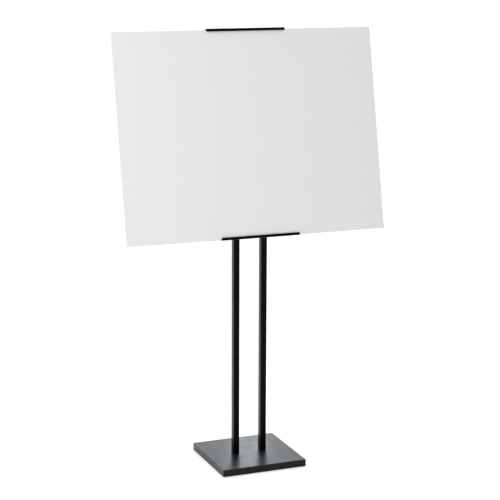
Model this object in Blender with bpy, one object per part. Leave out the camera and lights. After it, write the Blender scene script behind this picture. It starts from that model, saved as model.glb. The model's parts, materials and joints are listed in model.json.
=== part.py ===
"""Tilting sign stand: a weighted square base, two square posts, and a head that tilts between their tops.

The head carries a fixed ledge below and a height-adjustable clip above, and a display board stands between
them. Metres, +Z up, the front faces -Y, and the origin is on the floor under the middle of the base.
"""
import math

import bmesh
import bpy
from mathutils import Matrix, Vector

# Fits
GAP = 0.0003                      # left between pieces that touch
HOLE_ALLOWANCE = 0.0003           # a hole's radius over its fastener's

# Base
BASE_SIDE = 0.333
COVER_BOTTOM = 0.001
COVER_HEIGHT = 0.026
COVER_SHEET = 0.002
COVER_EDGE_RADIUS = 0.0012
COVER_CORNER_RADIUS = 0.002
BALLAST_SIDE = 0.325
BALLAST_THICKNESS = 0.012
FOOT_RADIUS = 0.0125
FOOT_INSET = 0.032                # foot centre to the base's side

# Posts
POST_SPACING = 0.110
POST_SIDE = 0.0235
POST_WALL = 0.0015
POST_CORNER = 0.001
POST_ABOVE_AXIS = 0.018
POST_INSERT_LENGTH = 0.026
SPREADER_BELOW_AXIS = 0.250
SPREADER_DEPTH = 0.010
SPREADER_HEIGHT = 0.020

SPREADER_SCREW_RADIUS = 0.003
SPREADER_SCREW_LENGTH = 0.038
POST_BOLT_RADIUS = 0.004
BOLT_ACROSS_FLATS = 0.013
BOLT_HEAD_HEIGHT = 0.0053
WASHER_RADIUS = 0.0085
WASHER_THICKNESS = 0.0016

# Tilt head, measured in its own frame: z up the board, -y forward, origin on the tilt axis
AXIS_HEIGHT = 1.238
TILT_AT_REST = math.radians(12.0)
SLEEVE_BACK = -0.0102             # y of the sleeve's rear face
SLEEVE_WIDTH = 0.038
SLEEVE_DEPTH = 0.016
SLEEVE_WALL = 0.0015
SLEEVE_TOP = 0.150
BAR_WIDTH = 0.0314
BAR_DEPTH = 0.008
BAR_BOTTOM = -0.170
BAR_WALL = 0.0015
RIVET_RELIEF_WIDTH = 0.029        # gap in the guide's back, which passes the bracket's rivets
BUSH_WALL = 0.0012
BUSH_LENGTH = 0.025
BRACKET_WIDTH = 0.0835
BRACKET_SHEET = 0.003
BRACKET_HALF_HEIGHT = 0.030
EAR_RADIUS = 0.014
PIVOT_RADIUS = 0.004
TILT_KNOB_RADIUS = 0.020
LOCK_KNOB_RADIUS = 0.016
RIVET_X = 0.010
RIVET_Z = 0.021
LOCK_HEIGHT = 0.105               # lock knob above the tilt axis, along the sleeve

# Channels and board
CHANNEL_LENGTH = 0.308
CHANNEL_DEPTH = 0.014
CHANNEL_SHEET = 0.0015
LIP_HEIGHT = 0.0106
FLANGE_HEIGHT = 0.032
LIP_CORNER = 0.0035
GRIP_THICKNESS = 0.0024
GRIP_LENGTH = 0.118
GRIP_HEIGHT = 0.022
GRIP_START = 0.032                # grip strip's near end from the middle
GRIP_MIDDLE_HEIGHT = 0.0172       # grip strip's middle over the channel's web
CHANNEL_SCREW_RADIUS = 0.0025
CHANNEL_SCREW_HEIGHT = 0.0187     # screws over the channel's web
BOARD_WIDTH = 1.016
BOARD_HEIGHT = 0.762
BOARD_THICKNESS = 0.005
BOARD_BOTTOM = -0.369             # z of its lower edge in the head's frame
BOARD_SHIFT = -0.004              # the board stands this far off centre
CLIP_CLEARANCE = 0.0028           # clip's web above the board's upper edge

# Worked out from the driving dimensions
COVER_TOP = COVER_BOTTOM + COVER_HEIGHT
BALLAST_TOP = COVER_TOP - COVER_SHEET - GAP
BALLAST_BOTTOM = BALLAST_TOP - BALLAST_THICKNESS
POST_TOP = AXIS_HEIGHT + POST_ABOVE_AXIS
POST_X = POST_SPACING / 2
SLEEVE_FRONT = SLEEVE_BACK - SLEEVE_DEPTH
FLANGE_BACK = SLEEVE_FRONT - GAP
FLANGE_FRONT = FLANGE_BACK - CHANNEL_SHEET
BOARD_BACK = FLANGE_FRONT - GRIP_THICKNESS - 2 * GAP
BAR_FRONT = SLEEVE_FRONT + SLEEVE_WALL + BUSH_WALL + 2 * GAP
BAR_MIDDLE = BAR_FRONT + BAR_DEPTH / 2
SLEEVE_MIDDLE = (SLEEVE_FRONT + SLEEVE_BACK) / 2
LEDGE_BOTTOM = BOARD_BOTTOM - GAP - CHANNEL_SHEET
CLIP_TOP = BOARD_BOTTOM + BOARD_HEIGHT + CLIP_CLEARANCE + CHANNEL_SHEET
SLEEVE_BOTTOM = LEDGE_BOTTOM + 0.0058
BAR_TOP = CLIP_TOP - 0.0053

# Colour, metallic and roughness of each finish
FINISHES = {
    "powder_coat": ((0.018, 0.018, 0.020), 0.3, 0.38),
    "bare_steel": ((0.30, 0.30, 0.31), 1.0, 0.45),
    "zinc": ((0.62, 0.63, 0.65), 1.0, 0.30),
    "brass": ((0.72, 0.54, 0.24), 1.0, 0.30),
    "plastic": ((0.022, 0.022, 0.024), 0.0, 0.50),
    "nylon": ((0.80, 0.79, 0.74), 0.0, 0.45),
    "rubber": ((0.030, 0.030, 0.030), 0.0, 0.85),
    "board": ((0.82, 0.82, 0.83), 0.0, 0.60),
}


def clear_scene():
    """Remove every object that the file opened with."""
    for obj in list(bpy.data.objects):
        bpy.data.objects.remove(obj, do_unlink=True)


def make_material(name, finish):
    """A Principled BSDF for one piece."""
    colour, metallic, roughness = FINISHES[finish]
    material = bpy.data.materials.new(name)
    material.use_nodes = True
    shader = material.node_tree.nodes["Principled BSDF"]
    shader.inputs["Base Color"].default_value = (*colour, 1.0)
    shader.inputs["Metallic"].default_value = metallic
    shader.inputs["Roughness"].default_value = roughness
    return material


def add_piece(name, mesh, finish, at=(0, 0, 0), parent=None, turn=None):
    """Link one named piece, with its own material, at a place in its parent's frame."""
    mesh.name = name
    obj = bpy.data.objects.new(name, mesh)
    bpy.context.collection.objects.link(obj)
    obj.location = at
    if turn is not None:
        obj.rotation_euler = turn
    obj.parent = parent
    if not mesh.materials:
        mesh.materials.append(None)
    obj.material_slots[0].link = "OBJECT"
    obj.material_slots[0].material = make_material(name, finish)
    return obj


def loft(loops, ring=False, smooth=False):
    """Join loops that have the same number of points; a ring also joins its last loop to its first."""
    work = bmesh.new()
    rows = [[work.verts.new(point) for point in loop] for loop in loops]
    pairs = list(zip(rows, rows[1:]))
    if ring:
        pairs.append((rows[-1], rows[0]))
    else:
        work.faces.new(rows[0])
        work.faces.new(rows[-1])
    for low, high in pairs:
        count = len(low)
        for i in range(count):
            j = (i + 1) % count
            work.faces.new((low[i], low[j], high[j], high[i]))
    bmesh.ops.recalc_face_normals(work, faces=work.faces)
    mesh = bpy.data.meshes.new("piece")
    work.to_mesh(mesh)
    work.free()
    if smooth:
        mesh.shade_smooth()
        mesh.set_sharp_from_angle(angle=math.radians(35))
    return mesh


def rounded_rectangle(width, depth, radius, z, steps=3, centre=(0.0, 0.0)):
    """A loop of points around a rectangle with round corners, counter-clockwise from above."""
    corners = ((1, 1, 0), (-1, 1, 90), (-1, -1, 180), (1, -1, 270))
    loop = []
    for side_x, side_y, start in corners:
        middle_x = centre[0] + side_x * (width / 2 - radius)
        middle_y = centre[1] + side_y * (depth / 2 - radius)
        for step in range(steps + 1):
            angle = math.radians(start + 90 * step / steps)
            loop.append((middle_x + radius * math.cos(angle), middle_y + radius * math.sin(angle), z))
    return loop


def circle(radius, z, count=32):
    """A loop of points around a circle."""
    angles = [math.tau * i / count for i in range(count)]
    return [(radius * math.cos(angle), radius * math.sin(angle), z) for angle in angles]


def lobed_circle(radius, z, lobes=7, depth=0.10, count=42):
    """A loop with evenly spaced finger lobes."""
    loop = []
    for i in range(count):
        angle = math.tau * i / count
        reach = radius * (1 - depth * (0.5 - 0.5 * math.cos(lobes * angle)))
        loop.append((reach * math.cos(angle), reach * math.sin(angle), z))
    return loop


def turned(profile, ring=False, count=32):
    """Turn (radius, z) pairs about the Z axis."""
    return loft([circle(radius, z, count) for radius, z in profile], ring, smooth=True)


def block(width, depth, height, bottom=0.0, corner=0.0005, edge=0.0003):
    """An upright block with round corners and eased ends, centred on Z."""
    inner = (width - 2 * edge, depth - 2 * edge, max(corner - edge, 0.0001))
    outer = (width, depth, corner)
    loops = [
        rounded_rectangle(*inner, bottom, 2),
        rounded_rectangle(*outer, bottom + edge, 2),
        rounded_rectangle(*outer, bottom + height - edge, 2),
        rounded_rectangle(*inner, bottom + height, 2),
    ]
    return loft(loops)


def square_tube(width, depth, wall, corner, bottom, top):
    """A rectangular tube along Z with round corners inside and out."""
    inner = (width - 2 * wall, depth - 2 * wall, max(corner - wall, 0.0005))
    loops = [
        rounded_rectangle(width, depth, corner, bottom),
        rounded_rectangle(width, depth, corner, top),
        rounded_rectangle(*inner, top),
        rounded_rectangle(*inner, bottom),
    ]
    return loft(loops, ring=True, smooth=True)


def carve(obj, mesh, centre, turn=None):
    """Cut a mesh out of a piece, at a place in the piece's own frame."""
    place = Matrix.Translation(centre)
    if turn is not None:
        place = place @ turn
    mesh.transform(place)
    cutter = bpy.data.objects.new(f"cut_{obj.name}_{len(obj.modifiers)}", mesh)
    bpy.context.collection.objects.link(cutter)
    cutter.parent = obj
    cutter.hide_render = True
    cutter.display_type = "WIRE"
    cut = obj.modifiers.new("cut", "BOOLEAN")
    cut.operation = "DIFFERENCE"
    cut.solver = "EXACT"
    cut.object = cutter


def drill(obj, radius, centre, axis, length, count=16):
    """Cut a round hole through a piece, centred on a point of its own frame."""
    half = length / 2
    mesh = loft([circle(radius, -half, count), circle(radius, half, count)])
    carve(obj, mesh, centre, Vector(axis).to_track_quat("Z", "Y").to_matrix().to_4x4())


# Fasteners, all along +Z with the head's bearing face at z = 0 and the shank below it

def button_screw(radius, length, head_radius, head_height):
    """A low round-headed screw."""
    profile = [
        (radius, -length),
        (radius, 0.0),
        (head_radius, 0.0),
        (head_radius, head_height * 0.35),
        (head_radius * 0.60, head_height),
    ]
    return turned(profile, count=14)


def hex_bolt(radius, length, across_flats, head_height):
    """A hexagon-headed bolt, with a point at each corner of the hexagon and one between."""
    count = 12
    head = []
    for i in range(count):
        angle = math.tau * i / count
        offset = (angle + math.pi / 6) % (math.pi / 3) - math.pi / 6
        reach = across_flats / 2 / math.cos(offset)
        head.append((reach * math.cos(angle), reach * math.sin(angle)))
    loops = [
        circle(radius, -length, count),
        circle(radius, 0.0, count),
        [(x, y, 0.0) for x, y in head],
        [(x, y, head_height * 0.85) for x, y in head],
        circle(across_flats / 2 * 0.94, head_height, count),
    ]
    return loft(loops)


def washer(inner, outer, thickness):
    """A flat washer from z = 0 up."""
    profile = [(inner, 0.0), (outer, 0.0), (outer, thickness), (inner, thickness)]
    return turned(profile, ring=True, count=18)


def star_knob(radius, height, bore, bore_depth):
    """A lobed hand knob with a blind bore in its lower face."""
    count = 42
    hub = radius * 0.55
    hub_height = height * 0.32
    loops = [
        circle(bore, bore_depth, count),
        circle(bore, 0.0, count),
        circle(hub * 0.92, 0.0, count),
        circle(hub, 0.0012, count),
        circle(hub, hub_height, count),
        lobed_circle(radius * 0.94, hub_height, depth=0.14),
        lobed_circle(radius, hub_height + 0.002, depth=0.14),
        lobed_circle(radius, height - 0.003, depth=0.14),
        lobed_circle(radius * 0.94, height - 0.0008, depth=0.12),
        lobed_circle(radius * 0.82, height, depth=0.08),
    ]
    return loft(loops, smooth=True)


def channel(up):
    """A J-shaped sheet channel along X: rear flange, web and front lip.

    Its web lies at z = 0, and the flange and lip rise from it when up is 1 or hang from it when up is -1.
    The rear flange's back face is at y = 0 and the lip is forward, at -y.
    """
    sheet = CHANNEL_SHEET
    depth = CHANNEL_DEPTH
    bend = 0.0008
    outline = [
        (0.0, FLANGE_HEIGHT),
        (0.0, bend),
        (-bend, 0.0),
        (-depth + bend, 0.0),
        (-depth, bend),
        (-depth, LIP_HEIGHT),
        (-depth + sheet, LIP_HEIGHT),
        (-depth + sheet, sheet),
        (-sheet, sheet),
        (-sheet, FLANGE_HEIGHT),
    ]
    half = CHANNEL_LENGTH / 2
    work = bmesh.new()
    ends = [[work.verts.new((x, y, up * z)) for y, z in outline] for x in (-half, half)]
    for end in ends:
        work.faces.new(end)
    for i in range(len(outline)):
        j = (i + 1) % len(outline)
        work.faces.new((ends[0][i], ends[0][j], ends[1][j], ends[1][i]))
    near = 1e-6
    corners = []
    for edge in work.edges:
        first, second = (vertex.co for vertex in edge.verts)
        across_sheet = abs(first.x - second.x) < near and abs(first.z - second.z) < near
        at_tip = min(abs(up * first.z - LIP_HEIGHT), abs(up * first.z - FLANGE_HEIGHT)) < near
        if across_sheet and at_tip:
            corners.append(edge)
    bmesh.ops.bevel(work, geom=corners, offset=LIP_CORNER, segments=4, profile=0.5, affect="EDGES")
    bmesh.ops.recalc_face_normals(work, faces=work.faces)
    mesh = bpy.data.meshes.new("piece")
    work.to_mesh(mesh)
    work.free()
    return mesh


def build_base():
    """Cover pan, ballast plate, and rubber feet with their screws."""
    side = BASE_SIDE
    inner = side - 2 * COVER_SHEET
    inner_corner = 0.0006
    eased = side - 0.6 * COVER_EDGE_RADIUS
    top = side - 2 * COVER_EDGE_RADIUS
    loops = [
        rounded_rectangle(inner, inner, inner_corner, COVER_TOP - COVER_SHEET),
        rounded_rectangle(inner, inner, inner_corner, COVER_BOTTOM),
        rounded_rectangle(side, side, COVER_CORNER_RADIUS, COVER_BOTTOM),
        rounded_rectangle(side, side, COVER_CORNER_RADIUS, COVER_TOP - COVER_EDGE_RADIUS),
        rounded_rectangle(eased, eased, COVER_CORNER_RADIUS * 0.85, COVER_TOP - 0.3 * COVER_EDGE_RADIUS),
        rounded_rectangle(top, top, COVER_CORNER_RADIUS * 0.4, COVER_TOP),
    ]
    cover = add_piece("base_cover", loft(loops), "powder_coat")
    plate = block(BALLAST_SIDE, BALLAST_SIDE, BALLAST_THICKNESS, BALLAST_BOTTOM, corner=0.005)
    ballast = add_piece("ballast_plate", plate, "bare_steel")

    for side_x in (-1, 1):
        at = (side_x * POST_X, 0.0, COVER_TOP)
        drill(cover, POST_BOLT_RADIUS + HOLE_ALLOWANCE, at, (0, 0, 1), 0.02)
        drill(ballast, POST_BOLT_RADIUS + HOLE_ALLOWANCE, at, (0, 0, 1), 0.08)

    head_radius = 0.005
    head_height = 0.0028
    screw_radius = 0.0025
    screw_seat = 0.0072
    foot_height = BALLAST_BOTTOM - GAP
    bore = screw_radius + HOLE_ALLOWANCE
    pocket = head_radius + 0.0006
    foot_profile = [
        (pocket, 0.0),
        (FOOT_RADIUS - 0.0015, 0.0),
        (FOOT_RADIUS - 0.0004, 0.0012),
        (FOOT_RADIUS, 0.003),
        (FOOT_RADIUS - 0.001, foot_height),
        (bore, foot_height),
        (bore, screw_seat + GAP),
        (pocket, screw_seat + GAP),
    ]
    reach = BASE_SIDE / 2 - FOOT_INSET
    corners = {
        "front_left": (-1, -1),
        "front_right": (1, -1),
        "back_left": (-1, 1),
        "back_right": (1, 1),
    }
    screw_length = BALLAST_BOTTOM + 0.010 - screw_seat
    for name, (side_x, side_y) in corners.items():
        at = (side_x * reach, side_y * reach, 0.0)
        add_piece(f"foot_{name}", turned(foot_profile, ring=True, count=20), "rubber", at)
        screw = button_screw(screw_radius, screw_length, head_radius, head_height)
        seat = (at[0], at[1], screw_seat)
        add_piece(f"foot_screw_{name}", screw, "zinc", seat, turn=(math.pi, 0, 0))
        drill(ballast, bore, (at[0], at[1], BALLAST_BOTTOM), (0, 0, 1), 0.0212)


def build_posts():
    """Two posts with their end fittings, and the spreader with the vertical stop."""
    spreader_z = AXIS_HEIGHT - SPREADER_BELOW_AXIS
    spreader_length = POST_SPACING - POST_SIDE - 2 * GAP
    post_bottom = COVER_TOP + GAP
    inside = POST_SIDE - 2 * POST_WALL
    plug_side = inside - 2 * GAP

    bar = block(SPREADER_DEPTH, SPREADER_HEIGHT, spreader_length, -spreader_length / 2, corner=0.001)
    across = (math.pi / 2, 0, math.pi / 2)
    spreader = add_piece("spreader_bar", bar, "powder_coat", (0, 0, spreader_z), turn=across)

    for name, side_x in (("left", -1), ("right", 1)):
        x = side_x * POST_X
        tube = square_tube(POST_SIDE, POST_SIDE, POST_WALL, POST_CORNER, post_bottom, POST_TOP)
        post = add_piece(f"post_{name}", tube, "powder_coat", (x, 0, 0))
        drill(post, PIVOT_RADIUS + HOLE_ALLOWANCE, (0, 0, AXIS_HEIGHT), (1, 0, 0), 0.04)
        drill(post, SPREADER_SCREW_RADIUS + HOLE_ALLOWANCE, (0, 0, spreader_z), (1, 0, 0), 0.04)

        insert = block(plug_side, plug_side, POST_INSERT_LENGTH, corner=0.001)
        insert_at = (x, 0, post_bottom + GAP)
        plug = add_piece(f"post_insert_{name}", insert, "bare_steel", insert_at)
        drill(plug, POST_BOLT_RADIUS + HOLE_ALLOWANCE, (0, 0, 0), (0, 0, 1), 0.08)

        washer_z = BALLAST_BOTTOM - GAP - WASHER_THICKNESS
        ring = washer(POST_BOLT_RADIUS + HOLE_ALLOWANCE, WASHER_RADIUS, WASHER_THICKNESS)
        add_piece(f"post_washer_{name}", ring, "zinc", (x, 0, washer_z))
        bolt_seat = washer_z - GAP
        bolt_length = COVER_TOP + 0.020 - bolt_seat
        bolt = hex_bolt(POST_BOLT_RADIUS, bolt_length, BOLT_ACROSS_FLATS, BOLT_HEAD_HEIGHT)
        add_piece(f"post_bolt_{name}", bolt, "zinc", (x, 0, bolt_seat), turn=(math.pi, 0, 0))

        cap_loops = [
            rounded_rectangle(plug_side - 0.001, plug_side - 0.001, 0.0008, POST_TOP - 0.007),
            rounded_rectangle(plug_side, plug_side, 0.001, POST_TOP - 0.006),
            rounded_rectangle(plug_side, plug_side, 0.001, POST_TOP + GAP),
            rounded_rectangle(POST_SIDE, POST_SIDE, POST_CORNER, POST_TOP + GAP),
            rounded_rectangle(POST_SIDE, POST_SIDE, POST_CORNER, POST_TOP + 0.0014),
            rounded_rectangle(POST_SIDE - 0.001, POST_SIDE - 0.001, POST_CORNER / 2, POST_TOP + 0.002),
        ]
        add_piece(f"post_cap_{name}", loft(cap_loops), "plastic", (x, 0, 0))

        screw = button_screw(SPREADER_SCREW_RADIUS, SPREADER_SCREW_LENGTH, 0.0055, 0.0032)
        seat = (side_x * (POST_X + POST_SIDE / 2 + GAP), 0, spreader_z)
        add_piece(f"spreader_screw_{name}", screw, "zinc", seat, turn=(0, side_x * math.pi / 2, 0))
        end = (0, 0, side_x * spreader_length / 2)
        drill(spreader, SPREADER_SCREW_RADIUS + HOLE_ALLOWANCE, end, (0, 0, 1), 0.042)

    stem_radius = 0.0025
    bumper_front = SLEEVE_BACK + GAP
    bumper_back = -SPREADER_DEPTH / 2 - GAP
    thickness = bumper_back - bumper_front
    bumper_profile = [
        (stem_radius * 0.8, -0.0075),
        (stem_radius, -0.0065),
        (stem_radius, 0.0),
        (0.008, 0.0),
        (0.008, thickness * 0.6),
        (0.0065, thickness),
    ]
    bumper_at = (0, bumper_back, spreader_z)
    bumper = turned(bumper_profile, count=18)
    add_piece("stop_bumper", bumper, "rubber", bumper_at, turn=(math.pi / 2, 0, 0))
    drill(spreader, stem_radius + HOLE_ALLOWANCE, (0, 0, 0), (1, 0, 0), 0.04)


def build_pivot():
    """The tilt bolt through both posts, its washers, and the clamping knob with its threaded insert."""
    outer = POST_X + POST_SIDE / 2
    inner = POST_X - POST_SIDE / 2
    axis_at = (0, 0, AXIS_HEIGHT)
    along_x = (0, math.pi / 2, 0)

    bolt_head = 0.0050
    bolt_end = outer + 0.0225
    head_seat = -outer - GAP
    profile = [
        (0.0010, head_seat - bolt_head),
        (0.0060, head_seat - bolt_head * 0.86),
        (0.0085, head_seat - bolt_head * 0.45),
        (0.0095, head_seat),
        (PIVOT_RADIUS, head_seat),
        (PIVOT_RADIUS, bolt_end - 0.001),
        (PIVOT_RADIUS * 0.8, bolt_end),
    ]
    add_piece("pivot_bolt", turned(profile, count=18), "zinc", axis_at, turn=along_x)

    bore = PIVOT_RADIUS + HOLE_ALLOWANCE
    friction_thickness = inner - BRACKET_WIDTH / 2 - 2 * GAP
    for name, start in (("left", -inner + GAP), ("right", inner - GAP - friction_thickness)):
        ring = washer(bore, 0.011, friction_thickness)
        at = (start, 0, AXIS_HEIGHT)
        add_piece(f"friction_washer_{name}", ring, "nylon", at, turn=along_x)

    washer_at = (outer + GAP, 0, AXIS_HEIGHT)
    ring = washer(bore, WASHER_RADIUS, WASHER_THICKNESS)
    add_piece("pivot_washer", ring, "zinc", washer_at, turn=along_x)

    knob_x = outer + WASHER_THICKNESS + 2 * GAP
    knob_height = 0.026
    insert_radius = 0.0065
    insert_length = 0.018
    knob = star_knob(TILT_KNOB_RADIUS, knob_height, insert_radius + GAP, insert_length + 0.003)
    add_piece("tilt_knob", knob, "plastic", (knob_x, 0, AXIS_HEIGHT), turn=along_x)
    insert_profile = [
        (bore, GAP),
        (insert_radius, GAP),
        (insert_radius, insert_length),
        (bore, insert_length),
    ]
    insert = turned(insert_profile, ring=True, count=18)
    add_piece("tilt_knob_insert", insert, "brass", (knob_x, 0, AXIS_HEIGHT), turn=along_x)


def bracket_mesh():
    """A U of bent sheet: a plate across the sleeve's back, with two round-ended ears running rearward."""
    half = BRACKET_WIDTH / 2
    sheet = BRACKET_SHEET
    plate_back = SLEEVE_BACK + GAP + sheet
    plate_front = SLEEVE_BACK + GAP
    outline = []
    steps = 8
    for step in range(steps + 1):
        angle = math.pi * step / steps - math.pi / 2
        outline.append((EAR_RADIUS * math.cos(angle), EAR_RADIUS * math.sin(angle)))
    outline.append((plate_back, BRACKET_HALF_HEIGHT))
    outline.append((plate_front, BRACKET_HALF_HEIGHT))
    outline.append((plate_front, -BRACKET_HALF_HEIGHT))
    outline.append((plate_back, -BRACKET_HALF_HEIGHT))
    return loft([[(x, y, z) for y, z in outline] for x in (-half, half)])


def build_bracket(head):
    """The tilting bracket, its spacer tube, and the rivets that hold it to the sleeve."""
    bracket = add_piece("tilt_bracket", bracket_mesh(), "powder_coat", parent=head)
    inside = BRACKET_WIDTH - 2 * BRACKET_SHEET
    plate_back = SLEEVE_BACK + GAP + BRACKET_SHEET
    pocket_depth = 0.080
    pocket = block(inside, pocket_depth, 0.100, -0.050, corner=0.002)
    carve(bracket, pocket, (0, plate_back + pocket_depth / 2, 0))
    bore = PIVOT_RADIUS + HOLE_ALLOWANCE
    drill(bracket, bore, (0, 0, 0), (1, 0, 0), 0.12)

    tube_length = inside - 2 * GAP
    tube_profile = [
        (bore, -tube_length / 2),
        (0.0055, -tube_length / 2),
        (0.0055, tube_length / 2),
        (bore, tube_length / 2),
    ]
    tube = turned(tube_profile, ring=True, count=18)
    add_piece("pivot_spacer_tube", tube, "zinc", parent=head, turn=(0, math.pi / 2, 0))

    rivet_radius = 0.0024
    grip = BRACKET_SHEET + SLEEVE_WALL + 2 * GAP
    rivet_profile = [
        (0.0010, -grip - 0.0026),
        (0.0034, -grip - 0.0018),
        (0.0036, -grip - GAP),
        (rivet_radius, -grip - GAP),
        (rivet_radius, 0.0),
        (0.0045, 0.0),
        (0.0036, 0.0010),
        (0.0015, 0.0014),
    ]
    sleeve = bpy.data.objects["mast_sleeve"]
    number = 1
    for side_x in (-1, 1):
        for side_z in (-1, 1):
            spot = (side_x * RIVET_X, 0, side_z * RIVET_Z)
            seat = (spot[0], plate_back + GAP, spot[2])
            mesh = turned(rivet_profile, count=12)
            rivet_name = f"bracket_rivet_{number}"
            add_piece(rivet_name, mesh, "zinc", seat, head, turn=(-math.pi / 2, 0, 0))
            in_plate = (spot[0], plate_back, spot[2])
            in_wall = (spot[0], SLEEVE_BACK - SLEEVE_MIDDLE, spot[2])
            drill(bracket, rivet_radius + HOLE_ALLOWANCE, in_plate, (0, 1, 0), 0.012)
            drill(sleeve, rivet_radius + HOLE_ALLOWANCE, in_wall, (0, 1, 0), 0.008)
            number += 1


def build_sleeve(head):
    """The fixed outer tube of the mast, with its top bush and bottom plug."""
    width = SLEEVE_WIDTH
    depth = SLEEVE_DEPTH
    middle = (0, SLEEVE_MIDDLE, 0)
    tube = square_tube(width, depth, SLEEVE_WALL, 0.002, SLEEVE_BOTTOM, SLEEVE_TOP)
    add_piece("mast_sleeve", tube, "powder_coat", middle, head)

    inside = (width - 2 * SLEEVE_WALL, depth - 2 * SLEEVE_WALL)
    liner = (inside[0] - 2 * GAP, inside[1] - 2 * GAP, 0.0006)
    hole = (BAR_WIDTH + 2 * GAP, BAR_DEPTH + 2 * GAP, 0.001)
    hole_centre = (0.0, BAR_MIDDLE - SLEEVE_MIDDLE)
    collar = (width, depth, 0.002)
    top = SLEEVE_TOP + GAP
    bush_loops = [
        rounded_rectangle(*hole, SLEEVE_TOP - BUSH_LENGTH, centre=hole_centre),
        rounded_rectangle(*liner, SLEEVE_TOP - BUSH_LENGTH),
        rounded_rectangle(*liner, top),
        rounded_rectangle(*collar, top),
        rounded_rectangle(*collar, top + 0.0024),
        rounded_rectangle(width - 0.0012, depth - 0.0012, 0.0015, top + 0.003),
        rounded_rectangle(*hole, top + 0.003, centre=hole_centre),
    ]
    add_piece("sleeve_bush", loft(bush_loops, ring=True), "plastic", middle, head)

    bottom = SLEEVE_BOTTOM - GAP
    plug_loops = [
        rounded_rectangle(width - 0.0012, depth - 0.0012, 0.0015, bottom - 0.002),
        rounded_rectangle(*collar, bottom - 0.0014),
        rounded_rectangle(*collar, bottom),
        rounded_rectangle(*liner, bottom),
        rounded_rectangle(*liner, bottom + 0.0070),
        rounded_rectangle(liner[0] - 0.001, liner[1] - 0.001, 0.0004, bottom + 0.0080),
    ]
    add_piece("sleeve_plug", loft(plug_loops), "plastic", middle, head)


def build_slider(head):
    """The telescoping bar with its guide and cap."""
    middle = (0, BAR_MIDDLE, 0)
    tube = square_tube(BAR_WIDTH, BAR_DEPTH, BAR_WALL, 0.0016, BAR_BOTTOM, BAR_TOP)
    add_piece("slide_bar", tube, "powder_coat", middle, head)

    inside = (BAR_WIDTH - 2 * BAR_WALL - 2 * GAP, BAR_DEPTH - 2 * BAR_WALL - 2 * GAP, 0.0005)
    guide = (SLEEVE_WIDTH - 2 * SLEEVE_WALL - 2 * GAP, SLEEVE_DEPTH - 2 * SLEEVE_WALL - 2 * GAP, 0.0006)
    guide_centre = (0.0, SLEEVE_MIDDLE - BAR_MIDDLE)
    bottom = BAR_BOTTOM - GAP
    guide_loops = [
        rounded_rectangle(*guide, bottom - 0.007, centre=guide_centre),
        rounded_rectangle(*guide, bottom, centre=guide_centre),
        rounded_rectangle(*inside, bottom),
        rounded_rectangle(*inside, bottom + 0.012),
    ]
    slide_guide = add_piece("slide_guide", loft(guide_loops), "plastic", middle, head)
    relief_depth = 0.010
    relief = block(RIVET_RELIEF_WIDTH, relief_depth, 0.030, bottom - 0.0285)
    carve(slide_guide, relief, (0, BAR_DEPTH / 2 + GAP + relief_depth / 2, 0))

    top = BAR_TOP + GAP
    cap_loops = [
        rounded_rectangle(*inside, top - 0.009),
        rounded_rectangle(*inside, top),
        rounded_rectangle(BAR_WIDTH, BAR_DEPTH, 0.0016, top),
        rounded_rectangle(BAR_WIDTH, BAR_DEPTH, 0.0016, top + 0.0014),
        rounded_rectangle(BAR_WIDTH - 0.001, BAR_DEPTH - 0.001, 0.0012, top + 0.002),
    ]
    add_piece("slide_bar_cap", loft(cap_loops), "plastic", middle, head)


def add_channel(head, name, web_z, up, screw_x, screw_length):
    """One channel with its two grip strips and two screws; returns the height of its screws."""
    piece = add_piece(f"{name}_channel", channel(up), "powder_coat", (0, FLANGE_BACK, web_z), head)
    screw_z = web_z + up * CHANNEL_SCREW_HEIGHT
    strip_z = web_z + up * GRIP_MIDDLE_HEIGHT
    strip_y = FLANGE_FRONT - GAP - GRIP_THICKNESS / 2
    strip_x = GRIP_START + GRIP_LENGTH / 2
    for side, side_x in (("left", -1), ("right", 1)):
        strip = block(GRIP_LENGTH, GRIP_THICKNESS, GRIP_HEIGHT, -GRIP_HEIGHT / 2, corner=0.0004)
        at = (side_x * strip_x, strip_y, strip_z)
        add_piece(f"{name}_grip_{side}", strip, "rubber", at, head)
        screw = button_screw(CHANNEL_SCREW_RADIUS, screw_length, 0.0046, 0.0022)
        seat = (side_x * screw_x, FLANGE_FRONT - GAP, screw_z)
        add_piece(f"{name}_screw_{side}", screw, "zinc", seat, head, turn=(math.pi / 2, 0, 0))
        spot = (seat[0], 0, up * CHANNEL_SCREW_HEIGHT)
        drill(piece, CHANNEL_SCREW_RADIUS + HOLE_ALLOWANCE, spot, (0, 1, 0), 0.006)
    return screw_z


def build_ledge(head):
    """The fixed lower channel, screwed to the sleeve's front."""
    screw_x = 0.011
    screw_z = add_channel(head, "ledge", LEDGE_BOTTOM, 1, screw_x, 0.0085)
    sleeve = bpy.data.objects["mast_sleeve"]
    for side_x in (-1, 1):
        spot = (side_x * screw_x, SLEEVE_FRONT - SLEEVE_MIDDLE, screw_z)
        drill(sleeve, CHANNEL_SCREW_RADIUS + HOLE_ALLOWANCE, spot, (0, 1, 0), 0.006)


def build_clip(head):
    """The upper channel, screwed to the telescoping bar over a spacer."""
    screw_x = 0.009
    screw_z = add_channel(head, "clip", CLIP_TOP, -1, screw_x, 0.0105)
    bar = bpy.data.objects["slide_bar"]
    thickness = BAR_FRONT - FLANGE_BACK - 2 * GAP
    plate = block(BAR_WIDTH, thickness, 0.026, -0.013)
    spacer_at = (0, (BAR_FRONT + FLANGE_BACK) / 2, screw_z)
    spacer = add_piece("clip_spacer", plate, "plastic", spacer_at, head)
    bore = CHANNEL_SCREW_RADIUS + HOLE_ALLOWANCE
    for side_x in (-1, 1):
        spot = (side_x * screw_x, -BAR_DEPTH / 2, screw_z)
        drill(bar, bore, spot, (0, 1, 0), 0.005)
        drill(spacer, bore, (side_x * screw_x, 0, 0), (0, 1, 0), 0.012)


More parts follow.
